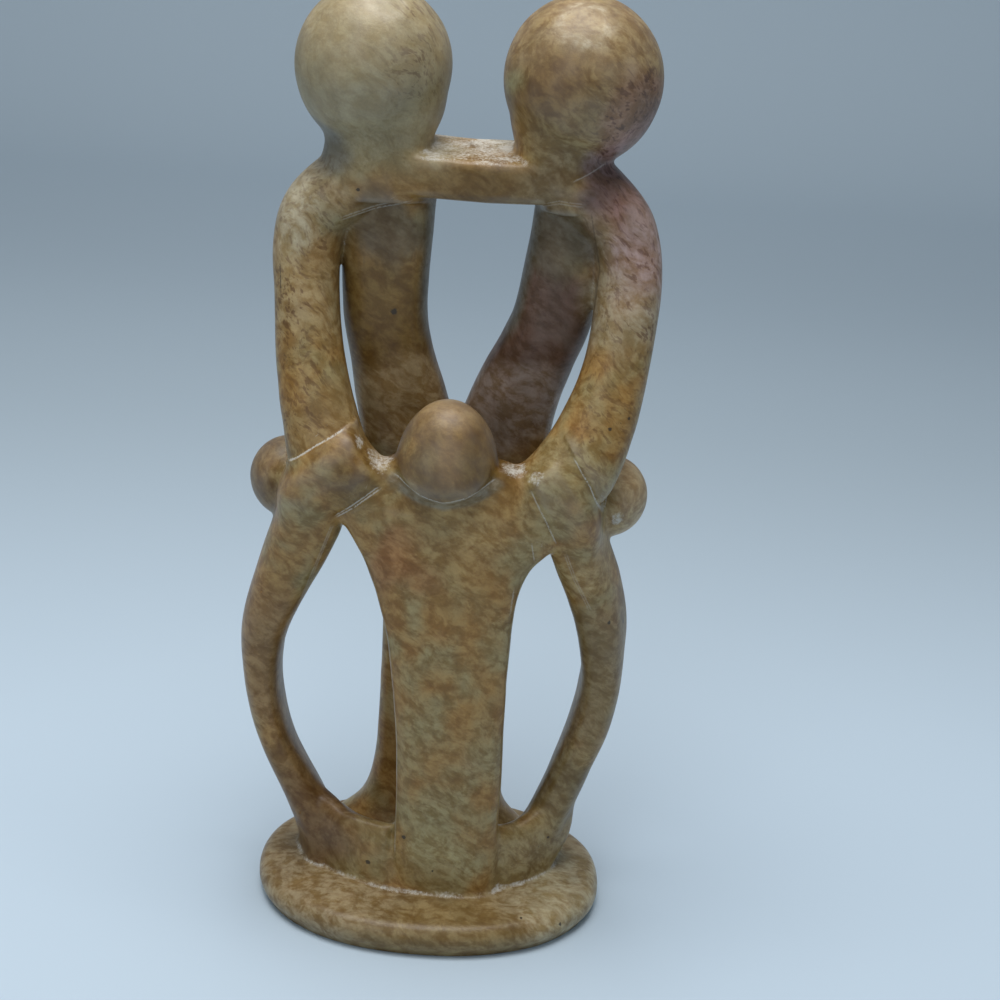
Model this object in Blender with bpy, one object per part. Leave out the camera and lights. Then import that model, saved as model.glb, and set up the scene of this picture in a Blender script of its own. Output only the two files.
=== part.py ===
"""Family group carved from one block of stone: two parents, three children, one oval base.

Metres, +Z up. The front of the group faces -Y and the origin lies under the middle of the base.
"""
import math

import bmesh
import bpy
from mathutils import Vector

# Base: an oval pebble-edged disc
BASE_WIDTH = 0.0815
BASE_DEPTH = 0.0628
BASE_THICKNESS = 0.0090
RIM_DROP = 0.0012
RIM_RUN = 0.0120
CROWN_RUN = 0.4 * BASE_DEPTH
OUTLINE_POWER = 2.2
OUTLINE_POINTS = 72
RIM_STEPS = 10
RIM_START = -1.0
ROOT_DEPTH = 0.0040

# Figures, from the top of the base to the top of the taller head
FIGURES_HEIGHT = 0.2033

# Wall that joins the feet at the front half of the base
FOOT_WIDTH = 0.0620
FOOT_REACH = 0.0225
FOOT_MIDDLE = 0.0040
FOOT_FLARE = 0.0030
FOOT_POWER = 1.9
FOOT_WALL_THICKNESS = 0.0060
FOOT_WALL_HEIGHT = 0.0125
FOOT_WALL_START = 14
FOOT_WALL_STEPS = 40

# Pose and proportions are laid out on a figure group 203.3 units high
LAYOUT_HEIGHT = 203.3
UNIT = FIGURES_HEIGHT / LAYOUT_HEIGHT

# Mesh finish
VOXEL = FIGURES_HEIGHT / 230
SMOOTH_PASSES = 6
SMOOTH_FACTOR = 0.5
TRIANGLE_TARGET = 9400

# Limbs run through stations: x, y, z above the base, half width, half depth, turn in degrees
LEFT_ARM = (
    (-23.0, 5.0, 162.0, 8.5, 10.0, 0),
    (-31.6, 3.5, 155.6, 7.6, 9.2, 0),
    (-34.0, 1.5, 147.0, 7.3, 8.2, 0),
    (-33.4, -1.5, 137.0, 7.0, 7.6, 0),
    (-32.0, -5.0, 125.0, 7.4, 7.2, 0),
    (-29.2, -9.0, 113.0, 8.1, 7.0, 0),
    (-25.6, -12.5, 104.0, 8.8, 6.8, 0),
    (-15.8, -13.9, 96.2, 7.2, 5.6, 0),
)
RIGHT_ARM = (
    (24.0, 5.0, 162.6, 8.5, 10.0, 0),
    (32.0, 3.5, 156.0, 7.6, 9.2, 0),
    (35.1, 1.5, 147.6, 7.1, 8.2, 0),
    (35.2, -1.5, 138.0, 7.1, 7.6, 0),
    (33.9, -5.0, 126.0, 7.2, 7.2, 0),
    (31.0, -9.0, 115.0, 8.1, 7.0, 0),
    (26.2, -12.5, 105.0, 9.0, 6.8, 0),
    (16.3, -13.9, 97.2, 7.2, 5.6, 0),
)
LEFT_BACK = (
    (-17.0, 5.8, 166.0, 10.4, 8.4, 0),
    (-17.2, 6.4, 151.0, 9.8, 8.0, 0),
    (-17.1, 8.0, 133.0, 9.2, 7.2, 0),
    (-15.3, 9.4, 122.0, 9.2, 6.8, 0),
    (-12.8, 11.2, 111.0, 10.2, 6.4, 0),
    (-9.5, 13.0, 97.0, 11.0, 6.0, 0),
    (-5.5, 15.0, 78.0, 10.5, 6.0, 0),
)
RIGHT_BACK = (
    (24.0, 5.8, 166.0, 9.2, 8.4, 0),
    (22.4, 6.4, 151.0, 8.9, 8.0, 0),
    (19.9, 8.0, 134.0, 8.6, 7.2, 0),
    (17.0, 9.4, 125.0, 8.7, 6.8, 0),
    (13.1, 11.2, 114.0, 9.6, 6.4, 0),
    (9.4, 13.0, 98.0, 11.0, 6.0, 0),
    (5.5, 15.0, 78.0, 10.5, 6.0, 0),
)
BACK_BODY = (
    (0.0, 13.0, 98.0, 19.5, 5.0, 0),
    (0.0, 15.0, 82.0, 17.0, 5.8, 0),
    (0.0, 16.5, 62.0, 15.4, 5.8, 0),
    (0.0, 17.0, 46.0, 14.9, 5.8, 0),
    (0.0, 17.0, 28.0, 14.9, 6.0, 0),
    (-0.3, 17.0, 15.0, 15.4, 6.4, 0),
    (-0.8, 16.5, 6.0, 17.8, 7.4, 0),
    (-1.2, 15.5, 0.5, 23.0, 8.8, 0),
    (-1.4, 15.5, -4.0, 27.0, 9.6, 0),
)
FRONT_BODY = (
    (0.0, -14.0, 106.0, 13.0, 4.6, 0),
    (0.0, -14.2, 102.5, 20.0, 5.2, 0),
    (0.2, -14.5, 96.0, 24.5, 5.6, 0),
    (1.7, -14.5, 91.0, 24.8, 5.6, 0),
    (1.1, -14.5, 86.6, 21.5, 5.6, 0),
    (0.4, -14.7, 82.0, 18.2, 5.6, 0),
    (0.7, -15.0, 74.0, 15.4, 5.6, 0),
    (1.9, -15.2, 62.0, 13.5, 5.6, 0),
    (2.8, -15.2, 48.0, 12.5, 5.6, 0),
    (3.6, -14.8, 32.0, 12.1, 5.6, 0),
    (3.8, -13.6, 14.0, 12.0, 5.6, 0),
    (3.4, -12.4, -4.0, 13.0, 6.0, 0),
)
LEFT_CHILD = (
    (-18.6, -14.0, 106.2, 6.4, 5.8, 0),
    (-23.6, -14.2, 102.4, 7.7, 6.8, 0),
    (-29.2, -12.2, 97.0, 7.9, 7.6, 0),
    (-30.8, -8.4, 88.6, 7.5, 8.4, 0),
    (-35.8, -4.4, 74.6, 6.5, 8.4, 0),
    (-40.4, -1.4, 60.4, 5.4, 8.2, 0),
    (-41.3, 0.5, 49.0, 4.4, 8.0, 0),
    (-40.2, 1.0, 38.0, 3.8, 8.0, 0),
    (-36.7, 1.4, 26.0, 3.9, 8.2, -6),
    (-30.6, 0.6, 14.0, 4.5, 8.2, -10),
    (-26.0, -0.4, 4.0, 5.4, 8.8, -20),
    (-24.4, -0.6, -5.0, 6.8, 9.6, -24),
)
RIGHT_CHILD = (
    (19.6, -14.0, 106.2, 5.2, 5.8, 0),
    (23.0, -14.2, 102.0, 6.5, 6.8, 0),
    (26.5, -12.0, 95.4, 6.7, 7.6, 0),
    (29.0, -8.2, 86.6, 5.8, 8.2, 10),
    (33.4, -4.4, 74.6, 5.5, 8.2, 12),
    (36.4, -1.4, 62.4, 5.3, 8.2, 8),
    (37.0, 1.0, 50.0, 4.7, 8.0, 0),
    (35.4, 1.5, 38.0, 4.7, 8.0, 0),
    (32.1, 1.9, 26.0, 4.6, 8.2, 6),
    (28.0, 1.2, 14.0, 4.9, 8.2, 10),
    (24.6, 0.4, 4.0, 5.6, 8.8, 20),
    (23.0, 0.0, -5.0, 6.8, 9.6, 24),
)
SIDE_SHOULDER = (
    (31.0, -3.0, 90.0, 6.0, 6.0, 0),
    (30.0, 4.0, 91.5, 6.4, 6.4, 0),
    (25.0, 10.0, 92.5, 6.2, 5.8, 0),
    (16.0, 13.5, 93.0, 6.0, 5.4, 0),
)
FOOT_SADDLE = (
    (31.0, 0.4, 17.0, 3.0, 2.6, 0),
    (27.8, -2.2, 11.4, 7.8, 3.4, 0),
    (22.8, -6.6, 6.4, 10.0, 3.4, 0),
    (17.6, -10.2, 4.8, 10.6, 3.4, 0),
    (9.2, -13.4, 4.4, 10.6, 3.4, 0),
)
LEFT_CHEST = (
    (-20.4, 5.0, 184.0, 15.0, 13.8, 0),
    (-19.8, 5.0, 177.0, 13.5, 12.6, 0),
    (-19.8, 5.0, 170.5, 11.4, 11.6, 0),
    (-19.8, 5.0, 164.0, 12.4, 11.4, 0),
    (-19.6, 5.2, 158.8, 12.6, 10.8, 0),
)
RIGHT_CHEST = (
    (21.6, 5.0, 184.0, 14.8, 13.8, 0),
    (20.3, 5.0, 177.0, 12.8, 12.6, 0),
    (19.1, 5.0, 170.0, 9.9, 11.6, 0),
    (20.4, 5.0, 164.0, 10.8, 11.4, 0),
    (21.2, 5.2, 160.4, 7.0, 10.9, 0),
    (21.2, 5.2, 158.8, 6.8, 10.8, 0),
)
BAR = (
    (-15.0, 4.5, 165.9, 10.2, 4.8, 4),
    (0.5, 4.5, 165.3, 10.2, 4.7, 4),
    (16.0, 4.5, 165.7, 10.2, 4.8, 4),
)

# Heads: widest place x, y, z above the base, then half width, half depth, rise above and drop below
HEADS = (
    (-21.6, 5.0, 186.0, 16.5, 16.2, 17.2, 18.0),
    (22.4, 5.0, 186.0, 16.8, 16.4, 17.3, 18.2),
    (-1.0, -14.2, 103.2, 11.3, 10.8, 16.4, 6.8),
    (-36.6, 2.0, 93.9, 8.9, 9.2, 9.2, 9.4),
    (35.2, 2.0, 94.6, 8.9, 9.2, 9.2, 9.6),
)

# Section shapes
STRIP_POWER = 2.8
ARM_POWER = 2.35
BAR_POWER = 7.0
SECTION_POINTS = 24
STEPS_PER_SPAN = 5
HEAD_SEGMENTS = 40
HEAD_RINGS = 24

STONE = (0.36, 0.25, 0.13, 1.0)
STONE_ROUGHNESS = 0.42


def clear_scene():
    """Remove every object so that the file starts empty."""
    for item in list(bpy.data.objects):
        bpy.data.objects.remove(item, do_unlink=True)


def stone_material():
    """Waxed stone in its own plain colour."""
    material = bpy.data.materials.new("soapstone")
    material.use_nodes = True
    shader = material.node_tree.nodes["Principled BSDF"]
    shader.inputs["Base Color"].default_value = STONE
    shader.inputs["Roughness"].default_value = STONE_ROUGHNESS
    shader.inputs["Metallic"].default_value = 0.0
    return material


def on_figures(x, y, z):
    """A layout place above the base, in metres."""
    return Vector((x * UNIT, y * UNIT, BASE_THICKNESS + z * UNIT))


def signed_power(value, exponent):
    """Power that keeps the sign, for superellipses."""
    return math.copysign(abs(value) ** exponent, value)


def between(stations, span, part):
    """Catmull-Rom value of every column between two stations."""
    last = len(stations) - 1
    before = stations[max(span - 1, 0)]
    start = stations[span]
    end = stations[span + 1]
    after = stations[min(span + 2, last)]
    values = []
    for p0, p1, p2, p3 in zip(before, start, end, after):
        slope_in = (p2 - p0) / 2
        slope_out = (p3 - p1) / 2
        square = part * part
        cube = square * part
        values.append(
            (2 * cube - 3 * square + 1) * p1
            + (cube - 2 * square + part) * slope_in
            + (3 * square - 2 * cube) * p2
            + (cube - square) * slope_out
        )
    return values


def along(stations):
    """Smooth samples through the stations, ends included."""
    samples = []
    for span in range(len(stations) - 1):
        for step in range(STEPS_PER_SPAN):
            samples.append(between(stations, span, step / STEPS_PER_SPAN))
    samples.append(list(stations[-1]))
    return samples


def section_ring(mesh, centre, across, deep, half_width, half_depth, power):
    """One superelliptic ring of vertices."""
    ring = []
    for index in range(SECTION_POINTS):
        angle = 2 * math.pi * index / SECTION_POINTS
        u = signed_power(math.cos(angle), 2 / power) * half_width
        v = signed_power(math.sin(angle), 2 / power) * half_depth
        ring.append(mesh.verts.new(centre + across * u + deep * v))
    return ring


def skin(mesh, rings):
    """Faces between rings of equal length, closed at both ends."""
    count = len(rings[0])
    for first, second in zip(rings, rings[1:]):
        for index in range(count):
            after = (index + 1) % count
            mesh.faces.new((first[index], first[after], second[after], second[index]))
    mesh.faces.new(list(reversed(rings[0])))
    mesh.faces.new(rings[-1])


def loft(mesh, stations, power, reference=Vector((1.0, 0.0, 0.0)), level=False):
    """Closed limb through the stations, its width along the reference direction.

    Level rings lie flat, for upright bodies whose middle wanders sideways.
    """
    samples = along(stations)
    centres = [on_figures(*sample[:3]) for sample in samples]
    rings = []
    for index, sample in enumerate(samples):
        ahead = centres[min(index + 1, len(centres) - 1)]
        behind = centres[max(index - 1, 0)]
        tangent = Vector((0.0, 0.0, -1.0)) if level else (ahead - behind).normalized()
        across = (reference - tangent * reference.dot(tangent)).normalized()
        deep = tangent.cross(across)
        turn = math.radians(sample[5])
        turned = across * math.cos(turn) + deep * math.sin(turn)
        upright = deep * math.cos(turn) - across * math.sin(turn)
        rings.append(
            section_ring(mesh, centres[index], turned, upright,
                         sample[3] * UNIT, sample[4] * UNIT, power)
        )
    skin(mesh, rings)


def mirrored(stations):
    """The same stations on the other side of the group."""
    return [(-row[0],) + tuple(row[1:5]) + (-row[5],) for row in stations]


def ball(mesh, x, y, z, half_width, half_depth, above, below):
    """An egg-shaped head, widest at its given place."""
    made = bmesh.ops.create_uvsphere(mesh, u_segments=HEAD_SEGMENTS, v_segments=HEAD_RINGS, radius=1.0)
    centre = on_figures(x, y, z)
    for vertex in made["verts"]:
        vertex.co.x = centre.x + vertex.co.x * half_width * UNIT
        vertex.co.y = centre.y + vertex.co.y * half_depth * UNIT
        reach = above if vertex.co.z > 0 else below
        vertex.co.z = centre.z + vertex.co.z * reach * UNIT


def base_profile():
    """Inset from the outline and height, from the root up over the rounded rim."""
    half = (BASE_THICKNESS - RIM_DROP) / 2
    foot_inset = half * (1 - math.cos(RIM_START))
    points = [(foot_inset, -ROOT_DEPTH), (foot_inset, 0.0)]
    for index in range(1, RIM_STEPS + 1):
        angle = RIM_START + (math.pi / 2 - RIM_START) * index / RIM_STEPS
        points.append((half * (1 - math.cos(angle)), half * (1 + math.sin(angle))))
    points.append((RIM_RUN, BASE_THICKNESS))
    points.append((CROWN_RUN, BASE_THICKNESS + RIM_DROP / 2))
    return points


def base_disc(mesh):
    """The oval base, lathed as a superellipse with its root below the floor."""
    rings = []
    for inset, height in base_profile():
        ring = []
        for index in range(OUTLINE_POINTS):
            angle = 2 * math.pi * index / OUTLINE_POINTS
            x = signed_power(math.cos(angle), 2 / OUTLINE_POWER) * (BASE_WIDTH / 2 - inset)
            y = signed_power(math.sin(angle), 2 / OUTLINE_POWER) * (BASE_DEPTH / 2 - inset)
            ring.append(mesh.verts.new((x, y, height)))
        rings.append(ring)
    skin(mesh, rings)


def foot_wall(mesh):
    """Flared wall round the front half of the base, from one side child's foot to the other's."""
    start = math.radians(180 + FOOT_WALL_START)
    sweep = math.radians(180 - 2 * FOOT_WALL_START)
    top = BASE_THICKNESS + FOOT_WALL_HEIGHT
    bottom = BASE_THICKNESS / 2
    outer_top = FOOT_FLARE + FOOT_WALL_THICKNESS
    rings = []
    profile = (
        (outer_top, bottom),
        (0.0, bottom),
        (0.0, BASE_THICKNESS),
        (FOOT_FLARE, top),
        (outer_top, top),
    )
    for index in range(FOOT_WALL_STEPS + 1):
        angle = start + sweep * index / FOOT_WALL_STEPS
        corners = []
        for inset, height in profile:
            x = signed_power(math.cos(angle), 2 / FOOT_POWER) * (FOOT_WIDTH / 2 - inset)
            y = signed_power(math.sin(angle), 2 / FOOT_POWER) * (FOOT_REACH - inset)
            corners.append(mesh.verts.new((x, FOOT_MIDDLE + y, height)))
        rings.append(corners)
    skin(mesh, rings)


def figure_bodies(mesh):
    """Every limb and head of the five figures, overlapping where they join."""
    loft(mesh, LEFT_ARM, ARM_POWER)
    loft(mesh, RIGHT_ARM, ARM_POWER)
    loft(mesh, LEFT_BACK, STRIP_POWER)
    loft(mesh, RIGHT_BACK, STRIP_POWER)
    loft(mesh, BACK_BODY, STRIP_POWER, level=True)
    loft(mesh, FRONT_BODY, STRIP_POWER, level=True)
    loft(mesh, LEFT_CHILD, STRIP_POWER)
    loft(mesh, RIGHT_CHILD, STRIP_POWER)
    loft(mesh, SIDE_SHOULDER, ARM_POWER, Vector((0.0, 0.0, 1.0)))
    loft(mesh, mirrored(SIDE_SHOULDER), ARM_POWER, Vector((0.0, 0.0, 1.0)))
    loft(mesh, FOOT_SADDLE, ARM_POWER, Vector((0.0, 0.0, 1.0)))
    loft(mesh, mirrored(FOOT_SADDLE), ARM_POWER, Vector((0.0, 0.0, 1.0)))
    loft(mesh, LEFT_CHEST, ARM_POWER, level=True)
    loft(mesh, RIGHT_CHEST, ARM_POWER, level=True)
    loft(mesh, BAR, BAR_POWER, Vector((0.0, 1.0, 0.0)))
    for head in HEADS:
        ball(mesh, *head)


def joined_mesh():
    """All bodies in one mesh, with their faces pointing out."""
    mesh = bmesh.new()
    figure_bodies(mesh)
    base_disc(mesh)
    foot_wall(mesh)
    bmesh.ops.recalc_face_normals(mesh, faces=mesh.faces)
    data = bpy.data.meshes.new("family_group")
    mesh.to_mesh(data)
    mesh.free()
    return data


def evaluated(item):
    """Triangle count of the object as its modifiers leave it."""
    graph = bpy.context.evaluated_depsgraph_get()
    seen = item.evaluated_get(graph)
    data = seen.to_mesh()
    data.calc_loop_triangles()
    count = len(data.loop_triangles)
    seen.to_mesh_clear()
    return count


def floor_cutter():
    """Guide block whose top is the floor; it cuts the underside flat."""
    mesh = bmesh.new()
    bmesh.ops.create_cube(mesh, size=1.0)
    for vertex in mesh.verts:
        vertex.co.x *= BASE_WIDTH * 2
        vertex.co.y *= BASE_DEPTH * 2
        vertex.co.z = (vertex.co.z - 0.5) * ROOT_DEPTH * 2
    data = bpy.data.meshes.new("floor_cutter")
    mesh.to_mesh(data)
    mesh.free()
    cutter = bpy.data.objects.new("floor_cutter", data)
    bpy.context.scene.collection.objects.link(cutter)
    cutter.hide_render = True
    cutter.display_type = "WIRE"
    return cutter


def carve(item):
    """Fuse the bodies into one skin, soften it, thin its triangles and cut the underside flat."""
    fuse = item.modifiers.new("fuse", "REMESH")
    fuse.mode = "VOXEL"
    fuse.voxel_size = VOXEL
    soften = item.modifiers.new("soften", "SMOOTH")
    soften.factor = SMOOTH_FACTOR
    soften.iterations = SMOOTH_PASSES
    thin = item.modifiers.new("thin", "DECIMATE")
    thin.ratio = TRIANGLE_TARGET / evaluated(item)
    cut = item.modifiers.new("flat_underside", "BOOLEAN")
    cut.operation = "DIFFERENCE"
    cut.solver = "EXACT"
    cut.object = floor_cutter()


def main():
    """Build the carving."""
    clear_scene()
    item = bpy.data.objects.new("family_group", joined_mesh())
    bpy.context.scene.collection.objects.link(item)
    item.data.materials.append(stone_material())
    carve(item)
    item.data.shade_smooth()


main()
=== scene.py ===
"""Family group carved from one block of mottled soapstone: two parents, three children, oval base.

Metres, +Z up, the front of the group towards -Y. The carving is one skin: limbs lofted through
stations, fused at a fine voxel, then given the creases, cut marks and uneven planes that a hand
leaves in soft stone. The stone is procedural: a gold and grey-green mottle under soft colour
clouds, a faint net of veins, short dark strokes, pale dust in the cuts and a satin wax.
Colours, dust and scratches are worked out per vertex and read by the stone's nodes. Some clouds
and lines, the rubbed edges and a grey band under the chin carry painted light and shade.
"""
import math

import bmesh
import bpy
import numpy as np
from mathutils import Matrix, Vector


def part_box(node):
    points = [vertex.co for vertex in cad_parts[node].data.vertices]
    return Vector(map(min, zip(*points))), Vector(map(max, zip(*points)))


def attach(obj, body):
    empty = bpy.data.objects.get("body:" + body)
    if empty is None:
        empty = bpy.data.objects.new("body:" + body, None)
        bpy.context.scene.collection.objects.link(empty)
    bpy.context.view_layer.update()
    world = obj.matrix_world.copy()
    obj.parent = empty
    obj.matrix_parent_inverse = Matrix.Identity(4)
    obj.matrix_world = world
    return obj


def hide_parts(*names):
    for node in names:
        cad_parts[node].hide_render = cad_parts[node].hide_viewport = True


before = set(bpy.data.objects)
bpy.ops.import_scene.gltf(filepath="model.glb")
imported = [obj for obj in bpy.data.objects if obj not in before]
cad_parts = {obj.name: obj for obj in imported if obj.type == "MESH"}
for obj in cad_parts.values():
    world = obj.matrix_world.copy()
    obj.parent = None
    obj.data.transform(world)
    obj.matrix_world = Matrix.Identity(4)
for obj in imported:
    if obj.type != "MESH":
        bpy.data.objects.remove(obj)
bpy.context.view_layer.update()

# Names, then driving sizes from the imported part's box
NODE = "family_group"
PIECE = "family_group_carving"
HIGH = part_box(NODE)[1]
BASE_THICKNESS = 0.0090
LAYOUT_HEIGHT = 203.3
UNIT = (HIGH.z - BASE_THICKNESS) / LAYOUT_HEIGHT
BASE_WIDTH = 0.0815
BASE_DEPTH = 0.0628
RIM_DROP = 0.0012
RIM_RUN = 0.0120
CROWN_RUN = 0.4 * BASE_DEPTH
OUTLINE_POWER = 2.2
OUTLINE_POINTS = 160
RIM_STEPS = 16
RIM_START = -1.0
ROOT_DEPTH = 0.0040

# Wall that joins the feet; its start is in degrees from the sides towards the front
FOOT_WIDTH = 0.0620
FOOT_REACH = 0.0225
FOOT_MIDDLE = 0.0040
FOOT_FLARE = 0.0030
FOOT_POWER = 1.9
FOOT_WALL_THICKNESS = 0.0060
FOOT_WALL_HEIGHT = 0.0125
FOOT_WALL_START = 14
FOOT_WALL_STEPS = 90

# Fineness of the skin
VOXEL = 0.00042
TRIANGLE_TARGET = 190000
SECTION_POINTS = 64
STEPS_PER_SPAN = 9
HEAD_SEGMENTS = 96
HEAD_RINGS = 64
STRIP_POWER = 2.8
ARM_POWER = 2.35
BAR_POWER = 7.0

# Limbs run through stations: x, y, z above the base, half width, half depth, turn in degrees
LEFT_ARM = (
    (-23.0, 5.0, 162.0, 8.5, 10.0, 0),
    (-31.6, 3.5, 155.6, 7.6, 9.2, 0),
    (-34.0, 1.5, 147.0, 7.3, 8.2, 0),
    (-33.4, -1.5, 137.0, 7.0, 7.6, 0),
    (-32.0, -5.0, 125.0, 7.4, 7.2, 0),
    (-29.2, -9.0, 113.0, 8.1, 7.0, 0),
    (-25.6, -12.5, 104.0, 8.8, 6.8, 0),
    (-15.8, -13.9, 96.2, 7.2, 5.6, 0),
)
RIGHT_ARM = (
    (24.0, 5.0, 162.6, 8.5, 10.0, 0),
    (32.0, 3.5, 156.0, 7.6, 9.2, 0),
    (35.1, 1.5, 147.6, 7.1, 8.2, 0),
    (35.2, -1.5, 138.0, 7.1, 7.6, 0),
    (33.9, -5.0, 126.0, 7.2, 7.2, 0),
    (31.0, -9.0, 115.0, 8.1, 7.0, 0),
    (26.2, -12.5, 105.0, 9.0, 6.8, 0),
    (16.3, -13.9, 97.2, 7.2, 5.6, 0),
)
LEFT_BACK = (
    (-17.0, 5.8, 166.0, 10.4, 8.4, 0),
    (-17.2, 6.4, 151.0, 9.8, 8.0, 0),
    (-17.1, 8.0, 133.0, 9.2, 7.2, 0),
    (-15.3, 9.4, 122.0, 9.2, 6.8, 0),
    (-12.8, 11.2, 111.0, 10.2, 6.4, 0),
    (-9.5, 13.0, 97.0, 11.0, 6.0, 0),
    (-5.5, 15.0, 78.0, 10.5, 6.0, 0),
)
RIGHT_BACK = (
    (24.0, 5.8, 166.0, 9.2, 8.4, 0),
    (22.4, 6.4, 151.0, 8.9, 8.0, 0),
    (19.9, 8.0, 134.0, 8.6, 7.2, 0),
    (17.0, 9.4, 125.0, 8.7, 6.8, 0),
    (13.1, 11.2, 114.0, 9.6, 6.4, 0),
    (9.4, 13.0, 98.0, 11.0, 6.0, 0),
    (5.5, 15.0, 78.0, 10.5, 6.0, 0),
)
BACK_BODY = (
    (0.0, 13.0, 98.0, 19.5, 5.0, 0),
    (0.0, 15.0, 82.0, 17.0, 5.8, 0),
    (0.0, 16.5, 62.0, 15.4, 5.8, 0),
    (0.0, 17.0, 46.0, 14.9, 5.8, 0),
    (0.0, 17.0, 28.0, 14.9, 6.0, 0),
    (-0.3, 17.0, 15.0, 15.4, 6.4, 0),
    (-0.8, 16.5, 6.0, 17.8, 7.4, 0),
    (-1.2, 15.5, 0.5, 23.0, 8.8, 0),
    (-1.4, 15.5, -4.0, 27.0, 9.6, 0),
)
FRONT_BODY = (
    (0.0, -14.0, 106.0, 13.0, 4.6, 0),
    (0.0, -14.2, 102.5, 20.0, 5.2, 0),
    (0.2, -14.5, 96.0, 24.5, 5.6, 0),
    (1.7, -14.5, 91.0, 24.8, 5.6, 0),
    (1.1, -14.5, 86.6, 21.5, 5.6, 0),
    (0.4, -14.7, 82.0, 18.2, 5.6, 0),
    (0.7, -15.0, 74.0, 15.4, 5.6, 0),
    (1.9, -15.2, 62.0, 13.5, 5.6, 0),
    (2.8, -15.2, 48.0, 12.5, 5.6, 0),
    (3.6, -14.8, 32.0, 12.1, 5.6, 0),
    (3.8, -13.6, 14.0, 12.0, 5.6, 0),
    (3.4, -12.4, -4.0, 13.0, 6.0, 0),
)
LEFT_CHILD = (
    (-18.6, -14.0, 106.2, 6.4, 5.8, 0),
    (-23.6, -14.2, 102.4, 7.7, 6.8, 0),
    (-29.2, -12.2, 97.0, 7.9, 7.6, 0),
    (-30.8, -8.4, 88.6, 7.5, 8.4, 0),
    (-35.8, -4.4, 74.6, 6.5, 8.4, 0),
    (-40.4, -1.4, 60.4, 5.4, 8.2, 0),
    (-41.3, 0.5, 49.0, 4.4, 8.0, 0),
    (-40.2, 1.0, 38.0, 3.8, 8.0, 0),
    (-36.7, 1.4, 26.0, 3.9, 8.2, -6),
    (-30.6, 0.6, 14.0, 4.5, 8.2, -10),
    (-26.0, -0.4, 4.0, 5.4, 8.8, -20),
    (-24.4, -0.6, -5.0, 6.8, 9.6, -24),
)
RIGHT_CHILD = (
    (19.6, -14.0, 106.2, 5.2, 5.8, 0),
    (23.0, -14.2, 102.0, 6.5, 6.8, 0),
    (26.5, -12.0, 95.4, 6.7, 7.6, 0),
    (29.0, -8.2, 86.6, 5.8, 8.2, 10),
    (33.4, -4.4, 74.6, 5.5, 8.2, 12),
    (36.4, -1.4, 62.4, 5.3, 8.2, 8),
    (37.0, 1.0, 50.0, 4.7, 8.0, 0),
    (35.4, 1.5, 38.0, 4.7, 8.0, 0),
    (32.1, 1.9, 26.0, 4.6, 8.2, 6),
    (28.0, 1.2, 14.0, 4.9, 8.2, 10),
    (24.6, 0.4, 4.0, 5.6, 8.8, 20),
    (23.0, 0.0, -5.0, 6.8, 9.6, 24),
)
SIDE_SHOULDER = (
    (31.0, -3.0, 90.0, 6.0, 6.0, 0),
    (30.0, 4.0, 91.5, 6.4, 6.4, 0),
    (25.0, 10.0, 92.5, 6.2, 5.8, 0),
    (16.0, 13.5, 93.0, 6.0, 5.4, 0),
)
FOOT_SADDLE = (
    (31.0, 0.4, 17.0, 3.0, 2.6, 0),
    (27.8, -2.2, 11.4, 7.8, 3.4, 0),
    (22.8, -6.6, 6.4, 10.0, 3.4, 0),
    (17.6, -10.2, 4.8, 10.6, 3.4, 0),
    (9.2, -13.4, 4.4, 10.6, 3.4, 0),
)
LEFT_CHEST = (
    (-20.4, 5.0, 184.0, 15.0, 13.8, 0),
    (-19.8, 5.0, 177.0, 13.5, 12.6, 0),
    (-19.8, 5.0, 170.5, 11.4, 11.6, 0),
    (-19.8, 5.0, 164.0, 12.4, 11.4, 0),
    (-19.6, 5.2, 158.8, 12.6, 10.8, 0),
)
RIGHT_CHEST = (
    (21.6, 5.0, 184.0, 14.8, 13.8, 0),
    (20.3, 5.0, 177.0, 12.8, 12.6, 0),
    (19.1, 5.0, 170.0, 9.9, 11.6, 0),
    (20.4, 5.0, 164.0, 10.8, 11.4, 0),
    (21.2, 5.2, 160.4, 7.0, 10.9, 0),
    (21.2, 5.2, 158.8, 6.8, 10.8, 0),
)
BAR = (
    (-15.0, 4.5, 165.9, 10.2, 4.8, 4),
    (0.5, 4.5, 165.3, 10.2, 4.7, 4),
    (16.0, 4.5, 165.7, 10.2, 4.8, 4),
)

# Heads: widest place x, y, z above the base, then half width, half depth, rise above and drop below
HEADS = (
    (-21.6, 5.0, 186.0, 16.5, 16.2, 17.2, 18.0),
    (22.4, 5.0, 186.0, 16.8, 16.4, 17.3, 18.2),
    (-1.0, -14.2, 103.2, 11.3, 10.8, 16.4, 6.8),
    (-36.6, 2.0, 93.9, 8.9, 9.2, 9.2, 9.4),
    (35.2, 2.0, 94.6, 8.9, 9.2, 9.2, 9.6),
)

# Zones smoothed more than the rest: four heights where that starts, is full, weakens and ends,
# then two distances from the middle where it starts and is full
FEET = ((1.0, 3.0, 20.0, 26.0), (8.0, 12.0))
JOINTS = ((84.0, 92.0, 108.0, 114.0), (11.0, 16.0))
NECKS = ((166.0, 171.0, 180.0, 184.0), (8.0, 12.0))
SMOOTH_SHARE = 0.5
SMOOTH_PASSES = 8
ZONE_PASSES = 45

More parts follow.
